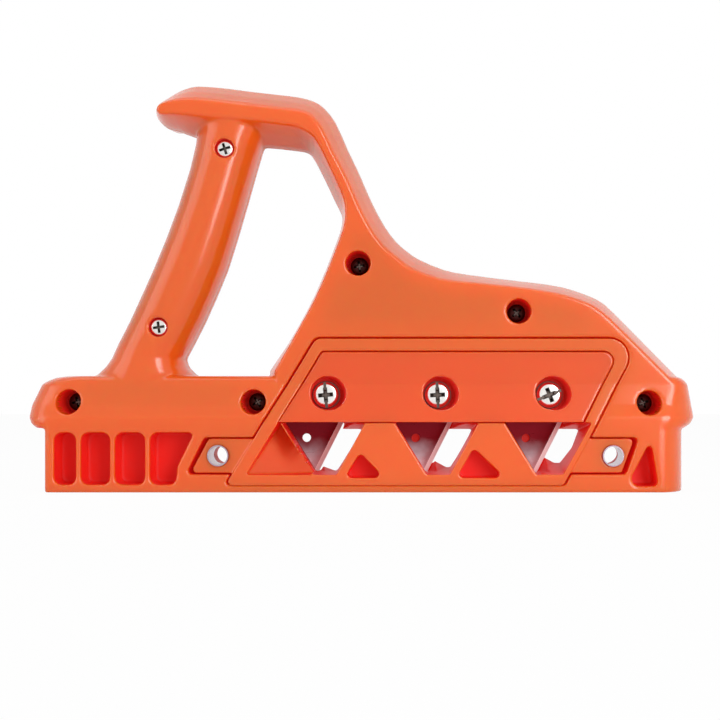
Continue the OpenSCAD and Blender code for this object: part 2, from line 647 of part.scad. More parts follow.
module blade_carrier() {
    color([0.91, 0.46, 0.25])
    difference() {
        intersection() {
            union() {
                slab(-base_depth, -fit, middle_outline(0));
                slab(-base_depth + over * 0.35, ear_thick - base_depth - fit, ear_outline(0, 0));
            }
            under_face(0);
        }
        groove();
        // Well of the clamp plate
        slab(-body_height, fit - clamp_back, clamp_outline(clamp_gap));
        intersection() {
            union()
                for (i = [0:2])
                    blade_column(i, body_height);
            union() {
                slab(-body_height, 0, clamp_outline(clamp_gap));
                slab(-body_height, 0, [[rear_foot, ear_low], [rear_line(clamp_low), clamp_low],
                    [front_line(clamp_low) - border, clamp_low], [front_foot, ear_low]]);
            }
        }
        // Undercuts that hold the blades' upper tips
        for (i = [0:2])
            blade_column(i, blade_thick + blade_gap * 20);
        for (i = [0:2]) {
            chip_mouth(i);
            bar(screw_at(i), -base_depth, over, screw_d + thread_gap * 12);
        }
        // Windows that show the blades' lower ends
        for (i = [0:2])
            slab(-body_height, cut_planes[i] - blade_thick * 2, [
                [end_line(i, clamp_low) + window_shifts[i], clamp_low],
                [edge_line(i, clamp_low), clamp_low], [tip(i)[0] + column, mouth_low],
                [end_line(i, mouth_low) + window_shifts[i], mouth_low]]);
        // Low area behind the rear blade: it falls from the frame to the blade
        hull() {
            slab(-body_height, -base_depth + over * 0.5, [
                [rear_line(mouth_low) + border, mouth_low], [rear_line(clamp_low) + border, clamp_low],
                [rear_line(clamp_low) + border + over * 0.2, clamp_low],
                [rear_line(mouth_low) + border + over * 0.2, mouth_low]]);
            slab(-body_height, -groove_reach - over * 0.8, [
                [end_line(0, clamp_low) - over * 0.1, clamp_low], [end_line(0, clamp_low), clamp_low],
                [tip(0)[0], mouth_low], [tip(0)[0] - over * 0.1, mouth_low]]);
        }
        // Cored triangles in the blocks between the blades
        for (i = [1:2])
            slab(-body_height, core_floor, rounded([
                [tip(i)[0] - core_steps[i - 1][0] * blade_pitch, core_low],
                [tip(i)[0] - core_steps[i - 1][1] * blade_pitch, core_high[i - 1]],
                [tip(i)[0] - core_steps[i - 1][2] * blade_pitch, core_low]], [core_round, core_round, core_round]));
        // Sight hole behind the rear blade's lower eye
        bar(eye_at(0), -base_depth, over, blade_eye);
        for (at = [sleeve_rear_at, sleeve_front_at])
            bar(at, -body_height, over, sleeve_d + 2 * thread_gap);
    }
}

module blade_clamp() {
    color([0.90, 0.36, 0.18])
    difference() {
        intersection() {
            union() {
                slab(-base_depth, -clamp_back, clamp_outline(0));
                // Pads on the blades
                intersection() {
                    union()
                        for (i = [0:2])
                            on_blade(i)
                                translate([0, 0, blade_thick + blade_gap * 2])
                                    linear_extrude(body_height / 4)
                                        polygon([[column, bevel_width + wall], [blade_length - column, bevel_width + wall],
                                            [blade_length - blade_width * 0.6, blade_width - wall],
                                            [blade_width * 0.6, blade_width - wall]]);
                    slab(-clamp_back - over, 0, clamp_outline(-fit));
                }
            }
            under_face(0);
        }
        for (i = [0:2]) {
            bar(screw_at(i), -body_height, -seat_depth, washer_d + 6 * thread_gap);
            bar(screw_at(i), -body_height, over, screw_d + thread_gap * 8);
            translate([screw_at(i)[0], -seat_depth - washer_h * 1.6, screw_at(i)[1]])
                rotate([90, 0, 0])
                    rotate([-blade_tilt * 0.5, blade_tilt, 0])
                        cylinder(d = washer_d + over, h = body_height / 8);
        }
    }
}

slot_turns = [5, 3, -68];
module clamp_screw(i) {
    color([0.80, 0.80, 0.82])
    translate([screw_at(i)[0], 0, screw_at(i)[1]])
        rotate([90, 0, 0]) {
            translate([0, 0, -screw_end])
                cylinder(d = screw_d, h = screw_end + seat_depth + washer_h + fit + over * 0.1);
            difference() {
                translate([0, 0, seat_depth + washer_h + 2 * fit])
                    rotate_extrude()
                        polygon([[0, 0], [head_d / 2, 0], [head_d / 2, head_h * 0.55], [head_d * 0.47, head_h * 0.8],
                            [head_d * 0.38, head_h * 0.97], [head_d * 0.3, head_h], [0, head_h]]);
                rotate([0, 0, slot_turns[i]]) {
                    translate([-head_d * 0.06, -head_d, seat_depth + washer_h + head_h * 0.62])
                        cube([head_d * 0.12, head_d * 2, head_h]);
                    for (a = [0, 90])
                        rotate([0, 0, a])
                            translate([-head_d * 0.3, -head_d * 0.075, seat_depth + washer_h + head_h * 0.4])
                                cube([head_d * 0.6, head_d * 0.15, head_h]);
                }
            }
        }
}
module clamp_screw_rear() { clamp_screw(0); }
module clamp_screw_middle() { clamp_screw(1); }
module clamp_screw_front() { clamp_screw(2); }

module clamp_washer(i) {
    color([0.72, 0.72, 0.74])
    translate([screw_at(i)[0], -seat_depth - fit, screw_at(i)[1]])
        rotate([90, 0, 0])
            difference() {
                cylinder(d = washer_d, h = washer_h);
                translate([0, 0, -washer_h])
                    cylinder(d = screw_d + 2 * thread_gap, h = washer_h * 3);
            }
}
module clamp_washer_rear() { clamp_washer(0); }
module clamp_washer_middle() { clamp_washer(1); }
module clamp_washer_front() { clamp_washer(2); }

module clamp_nut(i) {
    color([0.70, 0.70, 0.73])
    translate([screw_at(i)[0], nut_front, screw_at(i)[1]])
        rotate([-90, 0, 0])
            difference() {
                cylinder(d = nut_flats / cos(30), h = nut_h, $fn = 6);
                translate([0, 0, -nut_h])
                    cylinder(d = screw_d + 2 * thread_gap, h = nut_h * 3);
            }
}
module clamp_nut_rear() { clamp_nut(0); }
module clamp_nut_middle() { clamp_nut(1); }
module clamp_nut_front() { clamp_nut(2); }

module sleeve(at) {
    color([0.78, 0.78, 0.80])
    difference() {
        bar(at, -base_depth, sleeve_length - base_depth, sleeve_d);
        bar(at, -body_height, body_height, sleeve_bore);
    }
}
module sleeve_rear() { sleeve(sleeve_rear_at); }
module sleeve_front() { sleeve(sleeve_front_at); }

module shell_screw(at, seat, bite) {
    color([0.55, 0.55, 0.57])
    difference() {
        union() {
            bar(at, -seat - 2 * fit, bite, small_screw_d);
            bar(at, -seat - fit - small_head_d * 0.38, -seat - fit, small_head_d);
        }
        for (a = [0, 90])
            translate([at[0], -seat - small_head_d * 0.2, at[1]])
                rotate([90, a, 0])
                    translate([-small_head_d * 0.32, -small_head_d * 0.08, 0])
                        cube([small_head_d * 0.64, small_head_d * 0.16, small_head_d]);
    }
}
module body_screw_tail() { shell_screw(spot(body_screw_shares[TAIL]), seat_body, bite_low); }
module body_screw_heel() { shell_screw(spot(body_screw_shares[HEEL]), seat_body, bite_low); }
module body_screw_throat() { shell_screw(spot(body_screw_shares[THROAT]), seat_body, bite); }
module body_screw_brow() { shell_screw(spot(body_screw_shares[BROW]), seat_body, bite); }
module body_screw_nose() { shell_screw(spot(body_screw_shares[NOSE]), seat_body, bite_low); }
module grip_screw_upper() { shell_screw(spot(grip_screw_shares[0]), seat_grip, bite); }
module grip_screw_lower() { shell_screw(spot(grip_screw_shares[1]), seat_grip, bite); }

front_shell();
back_shell();
blade_carrier();
blade_clamp();
blade_rear();
blade_middle();
blade_front();
clamp_screw_rear();
clamp_screw_middle();
clamp_screw_front();
clamp_washer_rear();
clamp_washer_middle();
clamp_washer_front();
clamp_nut_rear();
clamp_nut_middle();
clamp_nut_front();
sleeve_rear();
sleeve_front();
body_screw_tail();
body_screw_heel();
body_screw_throat();
body_screw_brow();
body_screw_nose();
grip_screw_upper();
grip_screw_lower();
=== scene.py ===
import bpy
import bmesh
import json
import math
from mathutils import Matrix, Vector

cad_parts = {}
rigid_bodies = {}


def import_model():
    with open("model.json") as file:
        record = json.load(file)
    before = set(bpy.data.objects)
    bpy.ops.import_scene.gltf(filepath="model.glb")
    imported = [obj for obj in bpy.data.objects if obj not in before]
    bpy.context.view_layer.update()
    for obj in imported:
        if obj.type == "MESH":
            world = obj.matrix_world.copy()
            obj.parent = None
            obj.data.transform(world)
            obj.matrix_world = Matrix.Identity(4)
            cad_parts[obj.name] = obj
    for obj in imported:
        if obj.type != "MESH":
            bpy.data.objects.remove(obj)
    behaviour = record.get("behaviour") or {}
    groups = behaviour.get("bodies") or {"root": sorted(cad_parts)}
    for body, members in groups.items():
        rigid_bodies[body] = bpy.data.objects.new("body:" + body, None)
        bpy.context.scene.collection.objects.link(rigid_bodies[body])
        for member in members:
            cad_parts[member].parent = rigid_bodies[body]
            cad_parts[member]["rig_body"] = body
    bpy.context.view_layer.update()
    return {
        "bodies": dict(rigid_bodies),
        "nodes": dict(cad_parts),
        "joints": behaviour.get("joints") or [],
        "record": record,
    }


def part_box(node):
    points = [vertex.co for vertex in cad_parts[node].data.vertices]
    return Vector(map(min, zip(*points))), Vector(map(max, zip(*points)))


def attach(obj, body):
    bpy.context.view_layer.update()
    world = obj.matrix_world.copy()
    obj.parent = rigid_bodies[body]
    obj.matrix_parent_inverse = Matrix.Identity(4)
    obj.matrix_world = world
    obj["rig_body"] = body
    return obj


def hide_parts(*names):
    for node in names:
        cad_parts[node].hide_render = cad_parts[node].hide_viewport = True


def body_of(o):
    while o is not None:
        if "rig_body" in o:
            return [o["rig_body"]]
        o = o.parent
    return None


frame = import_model()
scene = bpy.context.scene
nodes = frame["nodes"]
print("frame loaded:", len(nodes), "nodes")


shot = {
    "place": (0.0203, -0.4925, 0.0322),  # metres, level with the clamp screws
    "lens": 66.2,
    "shiftX": -0.0833,
    "shiftY": 0.0583,
}

cameraData = bpy.data.cameras.new("camera")
cameraData.lens = shot["lens"]
cameraData.sensor_width = 36
cameraData.shift_x = shot["shiftX"]
cameraData.shift_y = shot["shiftY"]
cameraData.clip_start = 0.01
camera = bpy.data.objects.new("camera", cameraData)
camera.location = shot["place"]
camera.rotation_euler = (math.radians(90), 0, 0)
scene.collection.objects.link(camera)
scene.camera = camera
scene.view_settings.view_transform = "Standard"


def newMaterial(name):
    material = bpy.data.materials.new(name)
    material.use_nodes = True
    tree = material.node_tree
    shader = tree.nodes["Principled BSDF"]
    return material, tree, shader


def linear(red, green, blue):  # 0-255 screen colour to scene colour
    def one(value):
        value = value / 255
        return value / 12.92 if value <= 0.04045 else ((value + 0.055) / 1.055) ** 2.4
    return (one(red), one(green), one(blue), 1.0)


studio = {
    "worldForLight": 0.288,
    "floorColour": (0.86, 0.86, 0.86, 1.0),
    "floorGlow": 0.97,
    "floorHalf": 3.0,  # metres
    "floorDrop": 0.0002,
}
# softboxes: the tall one on the right draws the narrow light down the grip
lamps = {
    "strip softbox": {"place": (0.46, -0.76, 0.22), "aim": (0, 0, 0.06), "width": 0.3, "height": 0.8, "watts": 5.95},
    "side softbox": {"place": (-0.85, -0.5, 0.35), "aim": (0, 0, 0.06), "width": 0.7, "height": 0.7, "watts": 2.7},
    "top softbox": {"place": (0.0, -0.05, 0.8), "aim": (0, 0, 0.08), "width": 0.9, "height": 0.35, "watts": 1.3},
}


def whiteForRays(tree):  # 1 for the rays that see or mirror the white paper, 0 for those that light the tool
    rays = tree.nodes.new("ShaderNodeLightPath")
    total = rays.outputs["Is Camera Ray"]
    for name in ("Is Transmission Ray", "Is Glossy Ray"):
        larger = tree.nodes.new("ShaderNodeMath")
        larger.operation = "MAXIMUM"
        tree.links.new(total, larger.inputs[0])
        tree.links.new(rays.outputs[name], larger.inputs[1])
        total = larger.outputs[0]
    return total


def addWorld():
    world = bpy.data.worlds.new("studio world")
    world.use_nodes = True
    tree = world.node_tree
    for node in list(tree.nodes):
        tree.nodes.remove(node)
    out = tree.nodes.new("ShaderNodeOutputWorld")
    mix = tree.nodes.new("ShaderNodeMixShader")
    seen = tree.nodes.new("ShaderNodeBackground")
    lit = tree.nodes.new("ShaderNodeBackground")
    seen.inputs["Color"].default_value = (1, 1, 1, 1)
    seen.inputs["Strength"].default_value = 1.0
    lit.inputs["Color"].default_value = (1, 1, 1, 1)
    lit.inputs["Strength"].default_value = studio["worldForLight"]
    tree.links.new(whiteForRays(tree), mix.inputs[0])
    tree.links.new(lit.outputs[0], mix.inputs[1])
    tree.links.new(seen.outputs[0], mix.inputs[2])
    tree.links.new(mix.outputs[0], out.inputs[0])
    scene.world = world


def addFloor():
    data = bpy.data.meshes.new("floor")
    half = studio["floorHalf"]
    corners = [(-half, -half, 0), (half, -half, 0), (half, half, 0), (-half, half, 0)]
    data.from_pydata(corners, [], [(0, 1, 2, 3)])
    floor = bpy.data.objects.new("floor", data)
    floor.location = (0, 0, -studio["floorDrop"])
    scene.collection.objects.link(floor)
    material, tree, shader = newMaterial("pale floor")
    shader.inputs["Base Color"].default_value = studio["floorColour"]
    shader.inputs["Roughness"].default_value = 0.9
    shader.inputs["Specular IOR Level"].default_value = 0.0
    glow = tree.nodes.new("ShaderNodeEmission")
    mix = tree.nodes.new("ShaderNodeMixShader")
    glow.inputs["Strength"].default_value = 1.0
    share = tree.nodes.new("ShaderNodeMath")
    share.operation = "MULTIPLY"
    share.inputs[1].default_value = studio["floorGlow"]
    tree.links.new(whiteForRays(tree), share.inputs[0])
    tree.links.new(share.outputs[0], mix.inputs[0])
    tree.links.new(shader.outputs[0], mix.inputs[1])
    tree.links.new(glow.outputs[0], mix.inputs[2])
    tree.links.new(mix.outputs[0], tree.nodes["Material Output"].inputs[0])
    data.materials.append(material)


def addLamp(name, place, aim, width, height, watts):
    data = bpy.data.lights.new(name, "AREA")
    data.shape = "RECTANGLE"
    data.size = width
    data.size_y = height
    data.energy = watts
    lamp = bpy.data.objects.new(name, data)
    lamp.location = place
    lamp.rotation_mode = "QUATERNION"
    lamp.rotation_quaternion = (Vector(aim) - Vector(place)).to_track_quat("-Z", "Y")
    scene.collection.objects.link(lamp)


addWorld()
addFloor()
for name, lamp in lamps.items():
    addLamp(name, **lamp)
print("studio ready")


plasticFinish = {
    "shell": linear(239, 102, 27),
    "carrier": linear(239, 103, 29),
    "clamp": linear(236, 87, 21),
    "lowArea": linear(234, 96, 40),  # the duller face behind the rear blade, a little darker as painted shade of its sunken slope
    "recess": linear(238, 40, 32),  # pockets and gaps: a deeper red that paints their shade and the red light bounced about in them
    "through": 0.06,  # a faint painted red glow in those pockets and gaps
    "throughColour": (1.0, 0.03, 0.02, 1.0),
    "roughness": 0.19,
    "glow": 0.75,  # share of the light that goes into the plastic
    "depth": 0.009,  # how far red light travels in it, in metres
}


def orangePlastic(name, colour, roughness=plasticFinish["roughness"], shine=0.5, through=0.0):
    material, tree, shader = newMaterial(name)
    shader.inputs["Specular IOR Level"].default_value = shine
    # the emission paints a faint glow onto the plastic
    shader.inputs["Emission Color"].default_value = plasticFinish["throughColour"]
    shader.inputs["Emission Strength"].default_value = through
    coord = tree.nodes.new("ShaderNodeTexCoord")
    cloud = tree.nodes.new("ShaderNodeTexNoise")
    cloud.inputs["Scale"].default_value = 16
    cloud.inputs["Detail"].default_value = 2
    tree.links.new(coord.outputs["Object"], cloud.inputs["Vector"])
    tint = tree.nodes.new("ShaderNodeMix")
    tint.data_type = "RGBA"
    tint.inputs[6].default_value = [c * 0.97 for c in colour[:3]] + [1]
    tint.inputs[7].default_value = [min(1, c * 1.03) for c in colour[:3]] + [1]
    tree.links.new(cloud.outputs["Fac"], tint.inputs[0])
    tree.links.new(tint.outputs[2], shader.inputs["Base Color"])
    grain = tree.nodes.new("ShaderNodeTexNoise")
    grain.inputs["Scale"].default_value = 900
    grain.inputs["Detail"].default_value = 3
    tree.links.new(coord.outputs["Object"], grain.inputs["Vector"])
    rough = tree.nodes.new("ShaderNodeMapRange")
    rough.inputs["To Min"].default_value = roughness - 0.04
    rough.inputs["To Max"].default_value = roughness + 0.05
    tree.links.new(grain.outputs["Fac"], rough.inputs["Value"])
    tree.links.new(rough.outputs[0], shader.inputs["Roughness"])
    bump = tree.nodes.new("ShaderNodeBump")
    bump.inputs["Strength"].default_value = 0.035
    bump.inputs["Distance"].default_value = 0.0002
    tree.links.new(grain.outputs["Fac"], bump.inputs["Height"])
    tree.links.new(bump.outputs[0], shader.inputs["Normal"])
    shader.inputs["IOR"].default_value = 1.5
    shader.inputs["Subsurface Weight"].default_value = plasticFinish["glow"]
    shader.inputs["Subsurface Radius"].default_value = (1.0, 0.16, 0.07)
    shader.inputs["Subsurface Scale"].default_value = plasticFinish["depth"]
    return material


def brushedMetal(name, colour, roughness, stretch, depth, turn=0, metallic=1.0):
    material, tree, shader = newMaterial(name)
    coord = tree.nodes.new("ShaderNodeTexCoord")
    scale = tree.nodes.new("ShaderNodeMapping")
    scale.inputs["Scale"].default_value = stretch
    scale.inputs["Rotation"].default_value = (0, math.radians(turn), 0)
    grain = tree.nodes.new("ShaderNodeTexNoise")
    grain.inputs["Scale"].default_value = 1.0
    grain.inputs["Detail"].default_value = 4
    tree.links.new(coord.outputs["Object"], scale.inputs["Vector"])
    tree.links.new(scale.outputs[0], grain.inputs["Vector"])
    tint = tree.nodes.new("ShaderNodeMix")
    tint.data_type = "RGBA"
    tint.inputs[6].default_value = [c * 0.86 for c in colour[:3]] + [1]
    tint.inputs[7].default_value = [min(1, c * 1.12) for c in colour[:3]] + [1]
    tree.links.new(grain.outputs["Fac"], tint.inputs[0])
    tree.links.new(tint.outputs[2], shader.inputs["Base Color"])
    shader.inputs["Metallic"].default_value = metallic
    rough = tree.nodes.new("ShaderNodeMapRange")
    rough.inputs["To Min"].default_value = roughness - 0.07
    rough.inputs["To Max"].default_value = roughness + 0.07
    tree.links.new(grain.outputs["Fac"], rough.inputs["Value"])
    tree.links.new(rough.outputs[0], shader.inputs["Roughness"])
    bump = tree.nodes.new("ShaderNodeBump")
    bump.inputs["Strength"].default_value = depth
    bump.inputs["Distance"].default_value = 0.0001
    tree.links.new(grain.outputs["Fac"], bump.inputs["Height"])
    tree.links.new(bump.outputs[0], shader.inputs["Normal"])
    return material, tree, shader


bladeFinish = {
    "angle": 63,  # degrees between the blade's edge and the sole
    "brightTips": linear(196, 180, 186),  # at the tips, the lit end of the painted shade
    "shadeUnderClamp": linear(104, 18, 26),  # under the clamp plate: painted shade, with a painted red reflection of the plastic
    "brightBelow": 0.0075,
    "shadeAbove": 0.0195,
    "wander": 0.006,  # how far the edge of the painted shade wanders, in metres
}


def bladeSteel():
    midGrey = (0.5, 0.5, 0.5)  # only the grain counts, since the colours of the painted shade go over it
    return shadeUnderClamp(*brushedMetal("ground blade steel", midGrey, 0.3, (200, 700, 1900), 0.06, bladeFinish["angle"]))


# darkens the blade towards the top: painted shade and red reflection under the clamp plate, bright at the tips
def shadeUnderClamp(material, tree, shader):
    tint = shader.inputs["Base Color"].links[0].from_node
    coord = tree.nodes["Texture Coordinate"]
    split = tree.nodes.new("ShaderNodeSeparateXYZ")
    tree.links.new(coord.outputs["Object"], split.inputs[0])
    cloud = tree.nodes.new("ShaderNodeTexNoise")
    cloud.inputs["Scale"].default_value = 150
    tree.links.new(coord.outputs["Object"], cloud.inputs["Vector"])
    wander = tree.nodes.new("ShaderNodeMath")
    wander.operation = "MULTIPLY_ADD"
    wander.inputs[1].default_value = bladeFinish["wander"]
    tree.links.new(cloud.outputs["Fac"], wander.inputs[0])
    tree.links.new(split.outputs["Z"], wander.inputs[2])
    height = tree.nodes.new("ShaderNodeMapRange")
    height.interpolation_type = "SMOOTHSTEP"
    height.inputs["From Min"].default_value = bladeFinish["brightBelow"] + bladeFinish["wander"] / 2
    height.inputs["From Max"].default_value = bladeFinish["shadeAbove"] + bladeFinish["wander"] / 2
    tree.links.new(wander.outputs[0], height.inputs["Value"])
    shadeRamp = tree.nodes.new("ShaderNodeMix")
    shadeRamp.data_type = "RGBA"
    shadeRamp.inputs[6].default_value = bladeFinish["brightTips"]
    shadeRamp.inputs[7].default_value = bladeFinish["shadeUnderClamp"]
    tree.links.new(height.outputs[0], shadeRamp.inputs[0])
    shade = tree.nodes.new("ShaderNodeMix")
    shade.data_type = "RGBA"
    shade.blend_type = "SOFT_LIGHT"
    shade.inputs[0].default_value = 0.5
    tree.links.new(shadeRamp.outputs[2], shade.inputs[6])
    tree.links.new(tint.outputs[2], shade.inputs[7])
    tree.links.new(shade.outputs[2], shader.inputs["Base Color"])
    return material


finishes = {
    "shell": orangePlastic("shell orange", plasticFinish["shell"]),
    "carrier": orangePlastic("carrier orange", plasticFinish["carrier"]),
    "clamp": orangePlastic("clamp orange", plasticFinish["clamp"]),
    # pockets, gaps and screw seats get painted shade and red bounce light
    "recess": orangePlastic("recesses in painted red shade", plasticFinish["recess"], 0.45, 0.2, plasticFinish["through"]),
    # the low area is painted a little darker, as the shade of its sunken slope
    "lowArea": orangePlastic("carrier low area", plasticFinish["lowArea"], 0.5, 0.2),
    "blade": bladeSteel(),
    # the ground bevel is brighter steel, and its near white, non metallic colour also paints the bevel's highlight
    "bevel": brushedMetal("honed bevel", linear(250, 244, 247), 0.3, (2400, 900, 300), 0.1,
                          bladeFinish["angle"], 0.0)[0],
    "screw": brushedMetal("bright zinc", linear(236, 234, 230), 0.2, (700, 700, 700), 0.04)[0],
    # the cross and slot in the screw heads are painted dark, as the shade inside them
    "drive": brushedMetal("drive in painted shade", linear(104, 94, 88), 0.36, (900, 900, 900), 0.1)[0],
    # the washers are painted dark red, as the shade in the clamp screws' seats
    "washer": brushedMetal("washer in painted shade", linear(112, 60, 56), 0.34, (700, 700, 700), 0.08)[0],
    "nut": brushedMetal("plated nut", linear(176, 174, 172), 0.35, (700, 700, 700), 0.08)[0],
    "sleeve": brushedMetal("drawn tube", linear(186, 170, 180), 0.26, (500, 60, 500), 0.08)[0],
    "darkScrew": brushedMetal("black oxide", linear(62, 34, 32), 0.4, (700, 700, 700), 0.1)[0],
    "gripScrew": brushedMetal("zinc grip screw", linear(226, 224, 220), 0.24, (700, 700, 700), 0.06)[0],
}


finishByStart = {  # the first start that fits a node's name gives its finish
    "blade_carrier": "carrier",
    "blade_clamp": "clamp",
    "front_shell": "shell",
    "back_shell": "shell",
    "blade_": "blade",
    "clamp_screw": "screw",
    "clamp_washer": "washer",
    "clamp_nut": "nut",
    "sleeve": "sleeve",
    "grip_screw": "gripScrew",
    "body_screw": "darkScrew",
}


def finishOf(name):
    return next(finishes[finish] for start, finish in finishByStart.items() if name.startswith(start))


# the plastic pieces get the soft edges and blends of a moulding: finest detail in metres, smoothing passes,
# and the share of the faces that stays
moulding = {
    "front_shell": (0.00048, 9, 0.27),
    "back_shell": (0.00060, 9, 0.30),
    "blade_carrier": (0.00036, 6, 0.30),
    "blade_clamp": (0.00034, 6, 0.30),
}


# places on the solids that decide where the painted red recess shade and the darker low area go, all in metres
outerFace = {"base": 0.0225, "upper": 0.018, "bendLow": 0.0244, "bendHigh": 0.0386}
pocketBoxes = [(-0.1185, -0.061, 0.0025, 0.0236), (0.092, 0.1056, 0.0015, 0.0226)]  # x from, x to, z from, z to
frameGap = {"rear": -0.0506, "rearLean": 0.61, "front": 0.0729, "frontLean": 0.544, "foot": 0.0025, "below": 0.0003,
            "height": 0.0543}
earGap = {"rear": -0.0628, "front": 0.0984, "low": 0.0052, "high": 0.0208}
lowArea = {"end": -0.0176, "foot": 0.0056, "lean": 0.615, "width": 0.0252}  # the duller face behind the rear blade
recess = {
    "skin": 0.0008,  # less deep than this a face still belongs to the outside
    "floor": 0.0012,
    "back": 0.001,  # from here on a face belongs to the parting plane
    "bedTop": 0.0246,
    "screwHole": 0.0049,
    "screwHoleMouth": 0.0152,
    "clampSeat": 0.0066,
    "tailEnd": -0.112,
    "noseSlope": 0.08,
}


def middleOf(nodeName):
    low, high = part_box(nodeName)
    return (low + high) / 2


shellScrewPlaces = [middleOf(name) for name in nodes if name.startswith(("body_screw", "grip_screw"))]
clampScrewPlaces = [middleOf(name) for name in nodes if name.startswith("clamp_screw")]


def behindFace(point):
    share = (point.z - outerFace["bendLow"]) / (outerFace["bendHigh"] - outerFace["bendLow"])
    share = min(1, max(0, share))
    return outerFace["base"] * (1 - share) + outerFace["upper"] * share - abs(point.y)


def near(point, places, reach):
    return any(math.hypot(point.x - place.x, point.z - place.z) < reach for place in places)


def lowAreaShift(point):
    return (point.z - lowArea["foot"]) * lowArea["lean"]


def outsideOfShell(point, normal):  # the tail end and the nose slope
    tail = point.x < recess["tailEnd"] and normal.x < -0.5
    nose = point.x > recess["noseSlope"] and normal.x > 0.3 and normal.z > 0.2
    return tail or nose


def inShellGap(point):  # the narrow gap round the carrier's frame and ears
    rise = point.z - frameGap["foot"]
    rear = frameGap["rear"] + rise * frameGap["rearLean"]
    front = frameGap["front"] + rise * frameGap["frontLean"]
    frame = rear < point.x < front and -frameGap["below"] < rise < frameGap["height"]
    ears = earGap["rear"] < point.x < earGap["front"] and earGap["low"] < point.z < earGap["high"]
    return frame or ears


def inPaintedRecessShade(nodeName, point, normal):  # faces that get the deeper red painted shade and bounce light
    behind = behindFace(point)
    if point.y > -recess["back"] or behind < recess["skin"] or normal.y > 0.3:
        return False
    if nodeName == "front_shell":
        if outsideOfShell(point, normal):
            return False
        if near(point, shellScrewPlaces, recess["screwHole"]):
            return abs(point.y) < recess["screwHoleMouth"]
        if any(a < point.x < b and c < point.z < d for a, b, c, d in pocketBoxes):
            return behind > recess["floor"]
        return inShellGap(point) and abs(normal.y) < 0.6
    if nodeName == "blade_carrier":
        if point.x < lowArea["end"] - lowAreaShift(point):
            return abs(normal.y) < 0.4
        if normal.y < -0.7:
            return behind > recess["floor"] and point.z < recess["bedTop"]
        return abs(normal.y) < 0.7
    if nodeName == "blade_clamp":
        return abs(normal.y) < 0.6 or near(point, clampScrewPlaces, recess["clampSeat"])
    return False


def inLowArea(nodeName, point, normal):
    if nodeName != "blade_carrier" or normal.y > -0.4 or behindFace(point) < recess["skin"]:
        return False
    shift = lowAreaShift(point)
    return lowArea["end"] - lowArea["width"] + shift < point.x < lowArea["end"] - shift


def appliedMesh(piece, name):
    graph = bpy.context.evaluated_depsgraph_get()
    mesh = bpy.data.meshes.new_from_object(piece.evaluated_get(graph))
    mesh.name = name
    return mesh


def splitAtLowArea(mesh):  # gives the change of colour there a straight edge
    work = bmesh.new()
    work.from_mesh(mesh)
    bmesh.ops.bisect_plane(work, geom=work.verts[:] + work.edges[:] + work.faces[:],
                           plane_co=(lowArea["end"], 0, lowArea["foot"]), plane_no=(1, 0, lowArea["lean"]))
    work.to_mesh(mesh)
    work.free()


weldDistance = 0.000002  # metres
sharpAngle = 34  # degrees, metal edges sharper than this stay crisp


def mouldedCopy(nodeName, detail, passes, share):
    node = nodes[nodeName]
    name = "moulded_" + nodeName
    work = bpy.data.objects.new(name, node.data.copy())
    scene.collection.objects.link(work)
    weld = work.modifiers.new("weld", "WELD")
    weld.merge_threshold = weldDistance
    melt = work.modifiers.new("melt", "REMESH")
    melt.mode = "VOXEL"
    melt.voxel_size = detail
    soften = work.modifiers.new("soften", "SMOOTH")
    soften.factor = 0.5
    soften.iterations = passes
    fewer = work.modifiers.new("fewer", "DECIMATE")
    fewer.ratio = share
    bpy.context.view_layer.update()
    mesh = appliedMesh(work, name)
    bpy.data.objects.remove(work)
    if nodeName == "blade_carrier":
        splitAtLowArea(mesh)
    mesh.materials.clear()
    mesh.materials.append(finishOf(nodeName))
    # the second slot paints shade and red bounce light into the pockets, gaps and screw seats
    mesh.materials.append(finishes["recess"])
    if nodeName == "blade_carrier":
        mesh.materials.append(finishes["lowArea"])
    for face in mesh.polygons:
        face.use_smooth = True
        face.material_index = 1 if inPaintedRecessShade(nodeName, face.center, face.normal) else 0
        if inLowArea(nodeName, face.center, face.normal):
            face.material_index = 2
    piece = bpy.data.objects.new(name, mesh)
    scene.collection.objects.link(piece)
    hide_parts(nodeName)
    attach(piece, body_of(node)[0])
    print(name, len(mesh.polygons), "faces")


def evenShading(piece):
    weld = piece.modifiers.new("weld", "WELD")
    weld.merge_threshold = weldDistance
    split = piece.modifiers.new("sharp edges", "EDGE_SPLIT")
    split.split_angle = math.radians(sharpAngle)
    smooth = piece.modifiers.new("even shading", "WEIGHTED_NORMAL")
    smooth.mode = "FACE_AREA"
    smooth.weight = 70
    for face in piece.data.polygons:
        face.use_smooth = True


for name, piece in nodes.items():
    if not piece.material_slots:
        piece.data.materials.append(None)
    for slot in piece.material_slots:
        slot.material = finishOf(name)
    evenShading(piece)
print("finishes set")

for name, sizes in moulding.items():
    mouldedCopy(name, *sizes)
print("plastic moulded")


# one table for the clamp screws and one for the shell screws: headHeight, shank and pitch are in metres,
# turns in degrees, and the rest in shares of the head's diameter
clampScrew = {
    "headHeight": 0.0036,
    "crossArm": 0.31,
    "crossHalf": 0.085,
    "crossDepth": 0.24,
    "slotHalf": 0.055,  # half width of the slot that crosses the whole head
    "slotDepth": 0.15,
    "turns": {"rear": 5, "middle": 3, "front": -68},
    "shank": 0.0025,
    "pitch": 0.0008,
}
shellScrew = {
    "headHeight": 0.0025,
    "crossArm": 0.33,
    "crossHalf": 0.075,
    "crossDepth": 0.26,
    "slotHalf": 0,
    "slotDepth": 0,
    "turns": {"tail": 12, "heel": 31, "throat": 8, "brow": 40, "nose": 22, "upper": 18, "lower": 8},
    "shank": 0.00175,
    "pitch": 0.0012,
}
